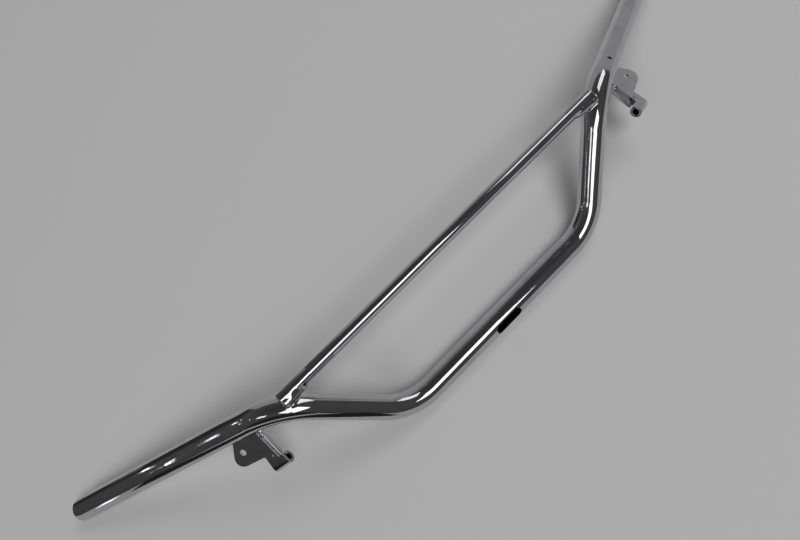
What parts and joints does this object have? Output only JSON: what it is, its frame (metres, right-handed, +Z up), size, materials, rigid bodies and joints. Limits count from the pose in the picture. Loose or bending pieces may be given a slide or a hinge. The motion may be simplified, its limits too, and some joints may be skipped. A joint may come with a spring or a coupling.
{
  "type": "motorcycle handlebar",
  "caption": "Chrome tubular handlebar with a raised shape, swept-back grips, a welded crossbar, lever brackets and a wiring slot.",
  "frame": {"origin": "middle of the clamp section, on the tube's axis", "axes": "+X along the clamp section to the rider's left, +Z up with the bar lying on its clamp section and both grip ends, +Y from the clamp section towards the crossbar"},
  "size_m": [0.8224, 0.1821, 0.0952],
  "materials": {
    "chrome": "polished chrome plate"
  },
  "bodies": {
    "root": {"main_tube": "chrome", "crossbar": "chrome", "left_lever_bracket": "chrome", "right_lever_bracket": "chrome", "left_crossbar_weld": "chrome", "right_crossbar_weld": "chrome", "left_bracket_weld": "chrome", "right_bracket_weld": "chrome"}
  },
  "joints": []
}
